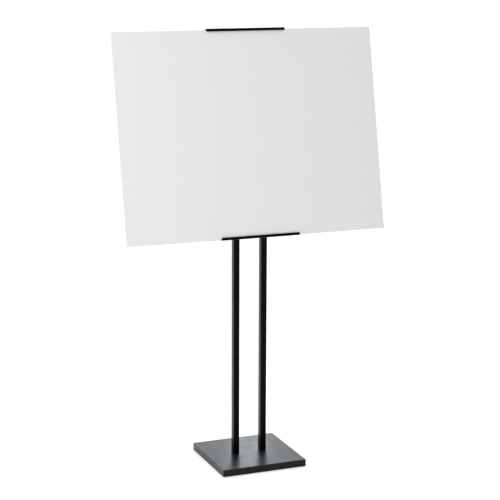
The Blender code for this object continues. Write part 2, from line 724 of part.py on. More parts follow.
def build_lock(head):
    """The height lock: a threaded boss on the sleeve, and a knob whose stud presses on the bar."""
    stud_radius = 0.003
    bore = stud_radius + HOLE_ALLOWANCE
    boss_length = 0.008
    boss_y = SLEEVE_BACK + GAP
    backward = (-math.pi / 2, 0, 0)
    boss_profile = [(bore, 0.0), (0.0065, 0.0), (0.0065, boss_length - 0.0006)]
    boss_profile += [(0.0059, boss_length), (bore, boss_length)]
    boss = turned(boss_profile, ring=True, count=18)
    add_piece("lock_boss", boss, "zinc", (0, boss_y, LOCK_HEIGHT), head, turn=backward)
    sleeve = bpy.data.objects["mast_sleeve"]
    spot = (0, SLEEVE_BACK - SLEEVE_MIDDLE, LOCK_HEIGHT)
    drill(sleeve, bore, spot, (0, 1, 0), 0.006)

    knob_y = boss_y + boss_length + 0.0006
    knob_height = 0.020
    bore_depth = 0.012
    knob = star_knob(LOCK_KNOB_RADIUS, knob_height, stud_radius + GAP, bore_depth)
    add_piece("lock_knob", knob, "plastic", (0, knob_y, LOCK_HEIGHT), head, turn=backward)
    tip_y = BAR_MIDDLE + BAR_DEPTH / 2 + GAP
    stud_end = knob_y + bore_depth - GAP
    stud_length = stud_end - tip_y
    stud_profile = [
        (stud_radius * 0.7, 0.0),
        (stud_radius, 0.0009),
        (stud_radius, stud_length),
    ]
    stud = turned(stud_profile, count=20)
    add_piece("lock_stud", stud, "zinc", (0, tip_y, LOCK_HEIGHT), head, turn=backward)


def build_board(head):
    """The display board, standing in the ledge and held by the clip."""
    sheet = block(BOARD_WIDTH, BOARD_THICKNESS, BOARD_HEIGHT, corner=0.0004, edge=0.0002)
    at = (BOARD_SHIFT, BOARD_BACK - BOARD_THICKNESS / 2, BOARD_BOTTOM)
    add_piece("display_board", sheet, "board", at, head)


def main():
    clear_scene()
    build_base()
    build_posts()
    build_pivot()
    head = bpy.data.objects.new("head_frame", None)
    bpy.context.collection.objects.link(head)
    head.location = (0, 0, AXIS_HEIGHT)
    head.rotation_euler = (-TILT_AT_REST, 0, 0)
    build_sleeve(head)
    build_bracket(head)
    build_slider(head)
    build_ledge(head)
    build_clip(head)
    build_lock(head)
    build_board(head)


main()
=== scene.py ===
"""Looks of the tilting sign stand: fine meshes and finishes for its solids, a floor, lights, a camera.

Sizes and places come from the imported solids. What these can't tell, such as a sheet's gauge, is named below.
Lengths are metres. The head's frame has x to the right, y rearward and z up the board, from the tilt axis.
"""
import json
import math

import bmesh
import bpy
from mathutils import Matrix, Vector


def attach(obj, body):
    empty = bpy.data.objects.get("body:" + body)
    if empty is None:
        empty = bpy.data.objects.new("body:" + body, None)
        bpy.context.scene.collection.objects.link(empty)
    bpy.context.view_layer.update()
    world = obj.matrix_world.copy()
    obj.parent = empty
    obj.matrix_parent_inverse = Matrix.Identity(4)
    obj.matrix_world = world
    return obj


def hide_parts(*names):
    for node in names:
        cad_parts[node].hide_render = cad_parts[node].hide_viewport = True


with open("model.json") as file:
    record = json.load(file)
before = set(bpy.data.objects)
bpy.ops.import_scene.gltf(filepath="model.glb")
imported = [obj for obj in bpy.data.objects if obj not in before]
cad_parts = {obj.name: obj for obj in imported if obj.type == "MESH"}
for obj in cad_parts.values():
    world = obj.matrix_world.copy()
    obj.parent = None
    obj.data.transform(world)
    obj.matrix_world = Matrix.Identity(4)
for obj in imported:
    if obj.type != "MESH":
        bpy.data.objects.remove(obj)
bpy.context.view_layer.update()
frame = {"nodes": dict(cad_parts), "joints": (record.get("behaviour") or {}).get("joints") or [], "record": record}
record = frame["record"]
body_of = {node: body for body, nodes in record["behaviour"]["bodies"].items() for node in nodes}
slot_of = {part["node"]: part["material_slot"] for part in record["subparts"]}

WORLD = Matrix.Identity(4)
LEFT = (-1, 0, 0)
RIGHT = (1, 0, 0)
FRONT = (0, -1, 0)
REAR = (0, 1, 0)
DOWN = (0, 0, -1)
UP = (0, 0, 1)
SIDES = {"left": LEFT, "right": RIGHT}

GAP = 0.0003  # left between pieces that touch
QUARTER = [math.radians(18 * step) for step in range(6)]  # angles along a quarter round
MIN_CORNER = 0.0002
RIM = 0.0002  # how far a cut tube's and a washer's edges are rounded over
CAP_EDGE = 0.0008  # the same for moulded caps
PLATE_EDGE = 0.0006  # the same for the ballast and the inserts
TIGHT = 1e-5  # heights and reaches this close are the same
ROUND = 48  # points around a turned piece
ROUND_SMALL = 36  # points around a small fastener
ROUND_INSERT = 96  # points around the knurled insert
ROUND_KNOB = 112  # points around a lobed knob
SHARP = math.radians(34)  # edges that turn more than this stay sharp
SHARP_AFTER_BEVEL = math.radians(60)

THREAD_PITCH = 0.32  # of the radius
THREAD_DEPTH = 0.6  # of the pitch
THREAD_LOOPS = 6  # loops to one pitch
POST_BOLT_THREAD = 0.022
PIVOT_BOLT_THREAD = 0.048
BOLT_CHAMFER = 0.0010
THREAD_RUNOUT = 0.0008  # plain length under a fully threaded screw's head

COVER_SHEET = 0.002
COVER_CORNER = 0.002
COVER_EDGE = 0.0012
COVER_FILLET = 0.0010
BALLAST_CORNER = 0.005
POST_WALL = 0.0015
POST_CORNER = 0.001
INSERT_CORNER = 0.001
SPREADER_CORNER = 0.0012
SLEEVE_WALL = 0.0015
SLEEVE_CORNER = 0.002
LINER_CORNER = 0.0006  # of what fits inside the sleeve
BAR_WALL = 0.0015
BAR_CORNER = 0.0016
GUIDE_CORNER = 0.0008
PLUG_CORNER = 0.0005  # of what fits inside the bar
PLUG_SLACK = 0.0004  # between a spigot's ridges
PLUG_TIP = 0.0006  # a spigot's lead-in
BRACKET_SHEET = 0.003
BRACKET_BEND = 0.002
EAR_RADIUS = 0.014
CHANNEL_SHEET = 0.0015
CHANNEL_BEND = 0.0005
LIP_CORNER = 0.0035
GRIP_RIBS = 9
SPACER_CORNER = 0.002
RIVET_RELIEF_WIDTH = 0.029
RIVET_RELIEF_DEPTH = 0.010
KNOB_LOBES = 7
KNOB_LOBE_DEPTH = 0.14  # of the radius
KNURLS = 24
KNURL_DEPTH = 0.0003
FOOT_GROOVE = 0.0004  # half a tread groove's width
FOOT_GROOVE_PITCH = 0.0015
BOARD_PAPER = 0.0004
CORE_INSET = 0.00025  # the foam's cut edge lies back behind the papers' edges

FACE_PAPER_DULL = (0.696, 0.700, 0.713, 1.0)
FACE_PAPER_BRIGHT = (0.708, 0.712, 0.725, 1.0)
COAT = (0.0018, 0.0030, 0.07)  # darkest and lightest grey, and sheen
# darkest and lightest grey, and sheen, all raised above the posts' coat: painted light that makes the base read
# brighter
BASE_COAT_PAINTED_LIGHT = (0.0075, 0.0095, 0.30)

CAMERA_AT = (-2.0469, -5.07733, 1.96493)
CAMERA_TURN = math.radians(-21.9824)
CAMERA_DIP = math.radians(11.858)
CAMERA_ROLL = math.radians(0.2054)
CAMERA_LENS = 107.88  # millimetres, on a 36 mm sensor
CAMERA_REACH = 400.0
FLOOR_REACH = 150.0
WHITE = (1.0, 1.0, 1.0, 1.0)
PALE_BLUE = (0.84, 0.935, 1.0, 1.0)
WORLD_FRONT = 0.06
WORLD_BACK = 0.90
WORLD_OVERHEAD = 1.85
GLOW_TOWARDS = (0.374, 0.906, 0.22)
GLOW_EDGE = math.cos(math.radians(40))  # where the glow begins
GLOW_MIDDLE = math.cos(math.radians(12))  # where it is full
GLOW_POWER = 0.88
KEY_AT = (-2.3, -1.9, 2.0)
KEY_AIM = (0.0, 0.0, 1.25)
KEY_SIZE = 1.4
KEY_POWER = 30.0
SHEEN_AT = (0.245, 0.60, 0.26)
SHEEN_AIM = (0.0, 0.0, 0.0)
SHEEN_SIZE = 0.16
SHEEN_POWER = 0.22


# Places and sizes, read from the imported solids

def head_frame():
    """The head's frame at rest, from the tilt axis and the direction that the clip slides in."""
    joints = {joint["name"]: joint for joint in frame["joints"]}
    right = Vector(RIGHT)
    up = Vector(joints["clip_height"]["axis"]).normalized()
    turn = Matrix((right, up.cross(right), up)).transposed()
    return Matrix.Translation(joints["head_tilt"]["pos_m"]) @ turn.to_4x4()


HEAD = head_frame()


def points(node, place):
    """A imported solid's corners in a frame."""
    into = place.inverted()
    return [into @ vertex.co for vertex in frame["nodes"][node].data.vertices]


def extent(node, place=WORLD):
    """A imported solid's lowest and highest corner in a frame."""
    spots = points(node, place)
    low = Vector([min(spot[axis] for spot in spots) for axis in range(3)])
    high = Vector([max(spot[axis] for spot in spots) for axis in range(3)])
    return low, high


def centre(node, place=WORLD):
    """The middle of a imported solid's box in a frame."""
    low, high = extent(node, place)
    return (low + high) / 2


def across(node, place=WORLD):
    """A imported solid's width and depth in a frame."""
    low, high = extent(node, place)
    return high.x - low.x, high.y - low.y


def shifted(place, at):
    """A frame moved to a point of its own."""
    return place @ Matrix.Translation(at)


def aimed(place, at, direction):
    """A frame at a point of another frame, with its z along a direction of that frame."""
    turn = Vector(direction).to_track_quat("Z", "Y").to_matrix().to_4x4()
    return shifted(place, at) @ turn


def boxed(node, place, direction=None):
    """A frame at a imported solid's middle, turned if it has a direction, and half the solid's size in it."""
    at = centre(node, place)
    middle = aimed(place, at, direction) if direction else shifted(place, at)
    return middle, extent(node, middle)[1]


def inside(size, wall):
    """The width and depth of what fits inside a tube of a size."""
    return [side - 2 * wall - 2 * GAP for side in size]


def levels(node, place):
    """A turned solid's (height, largest radius) pairs about a frame's z, lowest first."""
    found = {}
    for spot in points(node, place):
        height = round(spot.z, 5)
        found[height] = max(found.get(height, 0.0), math.hypot(spot.x, spot.y))
    return sorted(found.items())


class Fastener:
    """A headed fastener's place and sizes: z runs out of its head, from the face that the head bears on."""

    def __init__(self, node, place, direction):
        axis = aimed(place, centre(node, place), direction)
        profile = levels(node, axis)
        widest = max(radius for _, radius in profile)
        seat = next(height for height, radius in profile if radius > widest - TIGHT)
        self.place = shifted(axis, (0, 0, seat))
        self.head_radius = widest
        self.head_height = profile[-1][0] - seat
        self.length = seat - profile[0][0]
        self.radius = max(radius for height, radius in profile if height < seat)

    def drill(self, target, allowance=GAP, past=GAP):
        """A cutter for this fastener's hole, in the frame of the piece it goes through."""
        radius = self.radius + allowance
        low = -self.length - past
        mesh = loft([circle(radius, low), circle(radius, self.head_height)])
        mesh.transform(target.inverted() @ self.place)
        return mesh


def drilled(fasteners, place):
    """Cutters for the fasteners' holes in a piece with a frame."""
    return [fastener.drill(place) for fastener in fasteners]


def pair(name, place, direction=None):
    """The left and right fasteners of a name, by side. Without a direction, each points to its own side."""
    return {side: Fastener(f"{name}_{side}", place, direction or outward) for side, outward in SIDES.items()}


def rivets():
    """The bracket's four rivets."""
    return [Fastener(f"bracket_rivet_{number}", HEAD, REAR) for number in range(1, 5)]


# Loops and lofts

def loft(loops, ring=False):
    """Join loops that have the same number of points; a ring also joins its last loop to its first."""
    work = bmesh.new()
    rows = [[work.verts.new(point) for point in loop] for loop in loops]
    pairs = list(zip(rows, rows[1:]))
    if ring:
        pairs.append((rows[-1], rows[0]))
    else:
        work.faces.new(rows[0])
        work.faces.new(rows[-1])
    for low, high in pairs:
        count = len(low)
        for i in range(count):
            j = (i + 1) % count
            work.faces.new((low[i], low[j], high[j], high[i]))
    bmesh.ops.recalc_face_normals(work, faces=work.faces)
    mesh = bpy.data.meshes.new("loft")
    work.to_mesh(mesh)
    work.free()
    return mesh


def ring_of(reach, z, count=ROUND):
    """A loop about z whose distance from it is a function of the angle."""
    loop = []
    for i in range(count):
        angle = math.tau * (i + 0.5) / count
        distance = reach(angle)
        loop.append((distance * math.cos(angle), distance * math.sin(angle), z))
    return loop


def circle(radius, z, count=ROUND):
    """A round loop."""
    return ring_of(lambda angle: radius, z, count)


def hexagon(across_flats, z, count=ROUND, within=1.0):
    """A six-sided loop, cut off where it reaches past a radius."""
    def reach(angle):
        offset = (angle + math.pi / 6) % (math.pi / 3) - math.pi / 6
        return min(across_flats / 2 / math.cos(offset), within)
    return ring_of(reach, z, count)


def lobed(radius, z, depth=KNOB_LOBE_DEPTH, inset=0.0, count=ROUND_KNOB):
    """A loop with a hand knob's finger lobes."""
    def reach(angle):
        return radius * (1 - depth * (0.5 - 0.5 * math.cos(KNOB_LOBES * angle))) - inset
    return ring_of(reach, z, count)


def rounded_rectangle(width, depth, corner, z, middle=(0.0, 0.0), steps=6):
    """A rectangular loop with round corners."""
    corner = max(corner, MIN_CORNER)
    loop = []
    for side_x, side_y, start in ((1, 1, 0), (-1, 1, 90), (-1, -1, 180), (1, -1, 270)):
        x = middle[0] + side_x * (width / 2 - corner)
        y = middle[1] + side_y * (depth / 2 - corner)
        for step in range(steps + 1):
            angle = math.radians(start + 90 * step / steps)
            loop.append((x + corner * math.cos(angle), y + corner * math.sin(angle), z))
    return loop


def lower_rim(ease):
    """(inset, rise) pairs up a rounded-over lower rim."""
    return [(ease * (1 - math.sin(angle)), ease * (1 - math.cos(angle))) for angle in QUARTER]


def upper_rim(ease):
    """(inset, rise) pairs up a rounded-over upper rim, which end at a rise of 0."""
    return [(ease * (1 - math.cos(angle)), -ease * (1 - math.sin(angle))) for angle in QUARTER]


def prism(width, depth, corner, bottom, top, ease=0.0004, top_ease=None, middle=(0.0, 0.0), steps=6):
    """Loops up a rounded-rectangle prism, with both rims rounded over."""
    top_ease = ease if top_ease is None else top_ease

    def at(inset, z):
        size = (width - 2 * inset, depth - 2 * inset, corner - inset)
        return rounded_rectangle(*size, z, middle, steps)

    loops = [at(inset, bottom + rise) for inset, rise in lower_rim(ease)]
    loops += [at(inset, top + rise) for inset, rise in upper_rim(top_ease)]
    return loops


def tube(width, depth, wall, corner, bottom, top):
    """A rectangular tube with round corners and eased rims."""
    inner = (width - 2 * wall, depth - 2 * wall, corner - wall)
    loops = prism(width, depth, corner, bottom, top, RIM)
    loops += [rounded_rectangle(*inner, top), rounded_rectangle(*inner, bottom)]
    return loft(loops, ring=True)


def soften(outline, cut, closed=False, steps=4):
    """Round the corners of a flat outline, each over a length of `cut` either side of it."""
    spots = [Vector(point) for point in outline]
    count = len(spots)
    result = []
    for i, spot in enumerate(spots):
        if not closed and i in (0, count - 1):
            result.append(tuple(spot))
            continue
        back = spots[i - 1] - spot
        ahead = spots[(i + 1) % count] - spot
        reach = min(cut, back.length * 0.45, ahead.length * 0.45)
        start = spot + back.normalized() * reach
        end = spot + ahead.normalized() * reach
        for step in range(steps + 1):
            t = step / steps
            result.append(tuple(start * (1 - t) ** 2 + spot * (2 * t * (1 - t)) + end * t ** 2))
    return result


def turned(profile, cut=0.0003, ring=False, count=ROUND):
    """Turn (radius, height) pairs about z, with their corners softened."""
    return loft([circle(radius, z, count) for radius, z in soften(profile, cut, closed=ring)], ring)


def extruded(outline, start, end):
    """Draw a (y, z) outline along x."""
    return loft([[(x, y, z) for y, z in outline] for x in (start, end)])


def sheet_outline(path, sheet, bend, steps=6):
    """The outline of bent sheet metal, from its middle line's corners and the radius inside its bends."""
    middle = [Vector(point) for point in path]
    radius = bend + sheet / 2
    stations = [(middle[0], (middle[1] - middle[0]).normalized())]
    for before, corner, after in zip(middle, middle[1:], middle[2:]):
        coming = (corner - before).normalized()
        going = (after - corner).normalized()
        turn = math.atan2(coming.x * going.y - coming.y * going.x, coming.dot(going))
        side = math.copysign(1.0, turn)
        start = corner - coming * radius * math.tan(abs(turn) / 2)
        hub = start + side * radius * Vector((-coming.y, coming.x))
        for step in range(steps + 1):
            angle = math.atan2(coming.y, coming.x) + turn * step / steps
            heading = Vector((math.cos(angle), math.sin(angle)))
            stations.append((hub - side * radius * Vector((-heading.y, heading.x)), heading))
    stations.append((middle[-1], (middle[-1] - middle[-2]).normalized()))
    half = sheet / 2
    left = [spot + half * Vector((-heading.y, heading.x)) for spot, heading in stations]
    right = [spot - half * Vector((-heading.y, heading.x)) for spot, heading in stations]
    return [tuple(spot) for spot in left + right[::-1]]


def thread(radius, bottom, top, count=ROUND, internal=False):
    """Loops of a coarse screw thread: a helix of dips in the radius, which fades out at both ends."""
    pitch = THREAD_PITCH * radius
    depth = THREAD_DEPTH * pitch * (-1 if internal else 1)
    total = max(2, round(THREAD_LOOPS * (top - bottom) / pitch))
    loops = []
    for ring in range(total + 1):
        z = bottom + (top - bottom) * ring / total
        fade = min(1.0, (z - bottom) / pitch + (0 if internal else 1), (top - z) / pitch)

        def reach(angle, z=z, fade=fade):
            phase = (z / pitch - angle / math.tau) % 1.0
            return radius - depth * fade * (1 - abs(2 * phase - 1))

        loops.append(ring_of(reach, z, count))
    return loops


def shank(radius, length, thread_length, count):
    """Loops up a fastener's shank to its head, with a chamfered tip and a thread."""
    tip = 0.25 * radius
    loops = [circle(radius - tip, -length, count)]
    loops += thread(radius, -length + tip * 0.7, -length + thread_length, count)
    loops.append(circle(radius, -GAP, count))
    return loops


def socket_recess(across_flats, top, depth, count):
    """Loops down into a hexagon socket in a head's top."""
    mouth = across_flats * 0.62
    return [
        circle(mouth + 0.0002, top, count),
        circle(mouth, top - 0.0001, count),
        hexagon(across_flats, top - 0.0003, count, mouth),
        hexagon(across_flats, top - depth, count, mouth),
        circle(across_flats * 0.1, top - depth - across_flats * 0.18, count),
    ]


def socket_screw(sizes, thread_length=None, count=ROUND_SMALL):
    """A round-headed screw with a hexagon socket."""
    radius, top = sizes.head_radius, sizes.head_height
    rim = top * 0.22
    flat = radius * 0.58
    loops = shank(sizes.radius, sizes.length, thread_length or sizes.length - THREAD_RUNOUT, count)
    for reach, z in ((sizes.radius + GAP, 0.0), (radius - RIM, 0.0), (radius, RIM)):
        loops.append(circle(reach, z, count))
    for angle in QUARTER:
        dome = flat + (radius - flat) * math.cos(angle)
        loops.append(circle(dome, rim + (top - rim) * math.sin(angle), count))
    loops += socket_recess(sizes.radius * 1.25, top, top * 0.6, count)
    return loft(loops)


def hex_bolt(sizes):
    """A hexagon-headed bolt, with a washer face and chamfered corners."""
    top = sizes.head_height
    flats = sizes.head_radius * 2 * math.cos(math.pi / 6)
    face = 0.0004
    slope = math.tan(math.radians(60))
    loops = shank(sizes.radius, sizes.length, POST_BOLT_THREAD, ROUND)
    washer = flats * 0.47
    loops += [circle(sizes.radius + 0.0004, 0.0), circle(washer, 0.0), circle(washer, face)]
    rises = [BOLT_CHAMFER * step / 4 for step in range(5)]
    loops += [hexagon(flats, face + rise, within=flats * 0.5 + rise * slope) for rise in rises]
    loops += [hexagon(flats, top - rise, within=flats * 0.48 + rise * slope) for rise in reversed(rises)]
    loops.append(circle(flats * 0.30, top))
    loops.append(circle(flats * 0.26, top - 0.0003))
    return loft(loops)


def flat_ring(node, place, direction, count=ROUND):
    """A washer-like ring with eased edges, and its place."""
    axis = aimed(place, centre(node, place), direction)
    spots = points(node, axis)
    inner = min(math.hypot(spot.x, spot.y) for spot in spots)
    outer = max(math.hypot(spot.x, spot.y) for spot in spots)
    half = max(spot.z for spot in spots)
    profile = [(inner, -half), (outer, -half), (outer, half), (inner, half)]
    return turned(profile, RIM, ring=True, count=count), axis


# Finished pieces

def shaped(mesh, cutters=(), keep=None, bevel=0.0):
    """A mesh after its cuts, with its sharp edges eased and its flat faces shaded flat."""
    mesh.shade_smooth()
    work = bpy.data.objects.new("work", mesh)
    helpers = [work]
    for cutter in [keep] * bool(keep) + list(cutters):
        helper = bpy.data.objects.new("cutter", cutter)
        helpers.append(helper)
        cut = work.modifiers.new("cut", "BOOLEAN")
        cut.operation = "INTERSECT" if cutter is keep else "DIFFERENCE"
        cut.object = helper
    if bevel:
        ease = work.modifiers.new("ease", "BEVEL")
        ease.width = bevel
        ease.segments = 2
        ease.limit_method = "ANGLE"
        ease.angle_limit = SHARP
        ease.use_clamp_overlap = True
    weigh = work.modifiers.new("weigh", "WEIGHTED_NORMAL")
    weigh.keep_sharp = True
    for helper in helpers:
        bpy.context.scene.collection.objects.link(helper)
    mesh.set_sharp_from_angle(angle=SHARP_AFTER_BEVEL if bevel else SHARP)
    graph = bpy.context.evaluated_depsgraph_get()
    result = bpy.data.meshes.new_from_object(work.evaluated_get(graph), depsgraph=graph)
    for helper in helpers:
        bpy.data.objects.remove(helper)
    return result


def add(node, mesh, place, finish=None, name=None, cutters=(), keep=None, bevel=0.0):
    """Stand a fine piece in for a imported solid: on its body, in its slot, with its finish."""
    result = shaped(mesh, cutters, keep, bevel)
    result.materials.clear()
    result.materials.append(finish or finishes[slot_of[node]])
    result.name = name or f"{node}_fine"
    piece = bpy.data.objects.new(result.name, result)
    bpy.context.scene.collection.objects.link(piece)
    piece.matrix_world = place
    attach(piece, body_of[node])
    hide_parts(node)
    return piece


class Finish:
    """A Principled material being wired up. From noise to edge, each method returns an output socket."""

    def __init__(self, name):
        self.material = bpy.data.materials.new(name)
        self.material.use_nodes = True
        self.nodes = self.material.node_tree.nodes
        self.links = self.material.node_tree.links
        self.shader = self.nodes["Principled BSDF"]
        self.place = self.make("TexCoord").outputs["Object"]

    def put(self, value, socket):
        """Link a socket to an input, or set its plain value."""
        if isinstance(value, bpy.types.NodeSocket):
            self.links.new(value, socket)
        else:
            socket.default_value = value

    def feed(self, node, **inputs):
        """Feed a node's inputs, named with underscores for spaces."""
        for name, value in inputs.items():
            self.put(value, node.inputs[name.replace("_", " ")])
        return node

    def make(self, kind, **inputs):
        """A new shader node with its inputs fed."""
        return self.feed(self.nodes.new(f"ShaderNode{kind}"), **inputs)

    def surface(self, **inputs):
        """Feed the shader's inputs and return the material."""
        self.feed(self.shader, **inputs)
        return self.material

    def noise(self, size, detail=3.0, stretch=(1.0, 1.0, 1.0)):
        """Soft mottling about `size` across, longer along the axes whose stretch is over 1."""
        scaled = self.make("Mapping", Vector=self.place, Scale=[1 / (size * factor) for factor in stretch])
        texture = self.make("TexNoise", Vector=scaled.outputs["Vector"], Scale=1.0, Detail=detail)
        return texture.outputs["Fac"]

    def cells(self, size):
        """Distance to the middle of the nearest of many cells, each about `size` across."""
        return self.make("TexVoronoi", Vector=self.place, Scale=1 / size).outputs["Distance"]

    def span(self, value, low=0.0, high=1.0, start=0.3, end=0.7):
        """Map a socket's stretch from start to end onto low to high."""
        node = self.make("MapRange", Value=value, From_Min=start, From_Max=end, To_Min=low, To_Max=high)
        return node.outputs["Result"]

    def times(self, first, second):
        """The product of two sockets or values."""
        node = self.make("Math")
        node.operation = "MULTIPLY"
        self.put(first, node.inputs[0])
        self.put(second, node.inputs[1])
        return node.outputs["Value"]

    def mix(self, share, first, second):
        """A colour between two colours or colour sockets."""
        node = self.make("Mix")
        node.data_type = "RGBA"
        one, other = [socket for socket in node.inputs if socket.type == "RGBA"]
        self.put(share, node.inputs["Factor"])
        self.put(first, one)
        self.put(second, other)
        return next(socket for socket in node.outputs if socket.type == "RGBA")

    def bump(self, height, depth, over=None):
        """A relief of a height socket, `depth` deep, on top of another relief if one is given."""
        node = self.make("Bump", Distance=depth, Height=height)
        if over is not None:
            self.put(over, node.inputs["Normal"])
        return node.outputs["Normal"]

    def edge(self, width):
        """1 along the piece's edges and 0 away from them."""
        rounded = self.make("Bevel", Radius=width)
        rounded.samples = 4
        plain = self.make("NewGeometry")
        node = self.make("VectorMath")
        node.operation = "DOT_PRODUCT"
        self.links.new(rounded.outputs["Normal"], node.inputs[0])
        self.links.new(plain.outputs["Normal"], node.inputs[1])
        most_bent, least_bent = 0.86, 0.985
        return self.span(node.outputs["Value"], 1.0, 0.0, most_bent, least_bent)


def colour(red, green, blue):
    """An opaque colour."""
    return (red, green, blue, 1.0)


def grey(value, warmth=0.0):
    """A near-neutral colour; positive warmth adds red and takes blue away."""
    return colour(value * (1 + warmth), value, value * (1 - warmth))


def powder_coat(name, dull, bright, sheen):
    """Satin black powder coat: fine orange peel, faint clouding, edges lighter as wear and painted highlight."""
    finish = Finish(name)
    clouds = finish.noise(0.035)
    peel = finish.noise(0.0011, detail=2.0)
    grain = finish.noise(0.00025, detail=1.0)
    # edges painted lighter in patches: partly rubbed wear, partly a painted highlight along the rounded edges
    wear_and_edge_highlight = finish.times(finish.edge(0.0008), finish.span(finish.noise(0.006), 0.0, 0.8, 0.42, 0.62))
    coat = finish.mix(finish.span(clouds), grey(dull, -0.04), grey(bright, -0.06))
    return finish.surface(
        Base_Color=finish.mix(wear_and_edge_highlight, coat, grey(0.050, -0.03)),
        Roughness=finish.span(clouds, 0.30, 0.38),
        IOR=1.45,
        Specular_Tint=grey(sheen),
        Normal=finish.bump(grain, 0.000012, finish.bump(peel, 0.00005)),
    )


def moulded_plastic():
    """Black moulded nylon or ABS with a spark-eroded grain, paler where it is worn."""
    finish = Finish("black_moulded_plastic")
    grain = finish.noise(0.0005, detail=2.0)
    wear = finish.times(finish.edge(0.0012), finish.span(finish.noise(0.005), 0.2, 1.0))
    base = finish.mix(finish.span(finish.noise(0.02)), grey(0.011), grey(0.015))
    return finish.surface(
        Base_Color=finish.mix(wear, base, grey(0.03)),
        Roughness=finish.span(finish.noise(0.008), 0.38, 0.52),
        Specular_IOR_Level=0.35,
        Normal=finish.bump(grain, 0.00006),
    )


def rubber():
    """Dull black rubber with a dusty bloom."""
    finish = Finish("black_rubber")
    bloom = finish.span(finish.noise(0.006, detail=5.0), 0.0, 1.0, 0.4, 0.75)
    return finish.surface(
        Base_Color=finish.mix(bloom, grey(0.016), grey(0.034, 0.05)),
        Roughness=finish.span(finish.noise(0.003), 0.72, 0.92),
        Specular_IOR_Level=0.3,
        Normal=finish.bump(finish.noise(0.0006, detail=4.0), 0.00012),
    )


def zinc_plate():
    """Bright zinc plate: faint spangle, fine scratches and a bluish cast."""
    finish = Finish("bright_zinc_plate")
    spangle = finish.noise(0.0022, detail=4.0)
    scratches = finish.noise(0.00022, detail=2.0, stretch=(1.0, 9.0, 1.0))
    stain = finish.span(finish.noise(0.005), 0.0, 0.35, 0.5, 0.8)
    base = finish.mix(finish.span(spangle), grey(0.52, -0.05), grey(0.66, -0.02))
    return finish.surface(
        Base_Color=finish.mix(stain, base, colour(0.50, 0.47, 0.40)),
        Metallic=1.0,
        Roughness=finish.span(spangle, 0.24, 0.42),
        Normal=finish.bump(scratches, 0.00002),
    )


def mill_steel():
    """Hot-rolled steel under blue-grey mill scale, brighter on its sheared edges."""
    finish = Finish("hot_rolled_steel")
    scale = finish.noise(0.014, detail=6.0)
    speck = finish.noise(0.0014, detail=3.0)
    base = finish.mix(finish.span(scale), grey(0.075, -0.10), grey(0.16, -0.04))
    rust = finish.span(finish.noise(0.022, detail=6.0), 0.0, 0.7, 0.60, 0.74)
    bare = finish.times(finish.edge(0.0010), 0.8)
    stained = finish.mix(rust, base, colour(0.16, 0.075, 0.035))
    return finish.surface(
        Base_Color=finish.mix(bare, stained, grey(0.36)),
        Metallic=0.85,
        Roughness=finish.span(speck, 0.42, 0.66),
        Normal=finish.bump(speck, 0.00006, finish.bump(scale, 0.0002)),
    )


def turned_brass():
    """Lathe-turned brass with fine tool marks around its axis."""
    finish = Finish("turned_brass")
    marks = finish.noise(0.00018, detail=1.0, stretch=(60.0, 60.0, 1.0))
    tarnish = finish.span(finish.noise(0.004, detail=4.0), 0.0, 0.6, 0.4, 0.8)
    return finish.surface(
        Base_Color=finish.mix(tarnish, colour(0.78, 0.56, 0.25), colour(0.42, 0.27, 0.12)),
        Metallic=1.0,
        Roughness=finish.span(marks, 0.22, 0.40),
        Normal=finish.bump(marks, 0.00003),
    )


def natural_nylon():
    """Natural nylon: creamy, slightly translucent, with a moulded grain."""
    finish = Finish("natural_nylon")
    tone = finish.span(finish.noise(0.004))
    return finish.surface(
        Base_Color=finish.mix(tone, colour(0.74, 0.71, 0.62), colour(0.82, 0.80, 0.73)),
        Roughness=finish.span(finish.noise(0.0016), 0.34, 0.48),
        Subsurface_Weight=0.25,
        Subsurface_Scale=0.0015,
        Normal=finish.bump(finish.noise(0.0007), 0.00004),
    )


def board_paper(name, dull, bright, fleck):
    """The board's facing paper: fibre clouding between two tones, a fine tooth, and some darker flecks."""
    finish = Finish(name)
    clouds = finish.noise(0.012, detail=5.0)
    fibres = finish.noise(0.0006, detail=4.0, stretch=(4.0, 1.0, 1.0))
    flecks = finish.span(finish.noise(0.0012, detail=1.0, stretch=(3.0, 1.0, 1.0)), 0.0, fleck, 0.66, 0.78)
    sheet = finish.mix(finish.span(clouds), dull, bright)
    return finish.surface(
        Base_Color=finish.mix(flecks, sheet, grey(dull[1] * 0.6, 0.04)),
        Roughness=finish.span(clouds, 0.52, 0.62),
        Specular_IOR_Level=0.3,
        Normal=finish.bump(fibres, 0.00002),
    )


def foam_core():
    """Cut polystyrene foam: tiny cells, opened by the knife."""
    finish = Finish("cut_foam_core")
    cells = finish.cells(0.00045)
    shade = finish.span(cells, 0.0, 1.0, 0.2, 0.7)
    return finish.surface(
        Base_Color=finish.mix(shade, colour(0.84, 0.85, 0.86), colour(0.72, 0.73, 0.75)),
        Roughness=0.85,
        Subsurface_Weight=0.15,
        Subsurface_Scale=0.001,
        Normal=finish.bump(cells, 0.0002, finish.bump(finish.noise(0.003), 0.0003)),
    )


finishes = {
    "black_powder_coat": powder_coat("satin_black_powder_coat", *COAT),
    "ballast_steel": mill_steel(),
    "zinc_plated_steel": zinc_plate(),
    "brass_insert": turned_brass(),
    "black_plastic": moulded_plastic(),
    "nylon": natural_nylon(),
    "black_rubber": rubber(),
    "foam_board": board_paper("white_face_paper", FACE_PAPER_DULL, FACE_PAPER_BRIGHT, 0.0),
}


# The stand

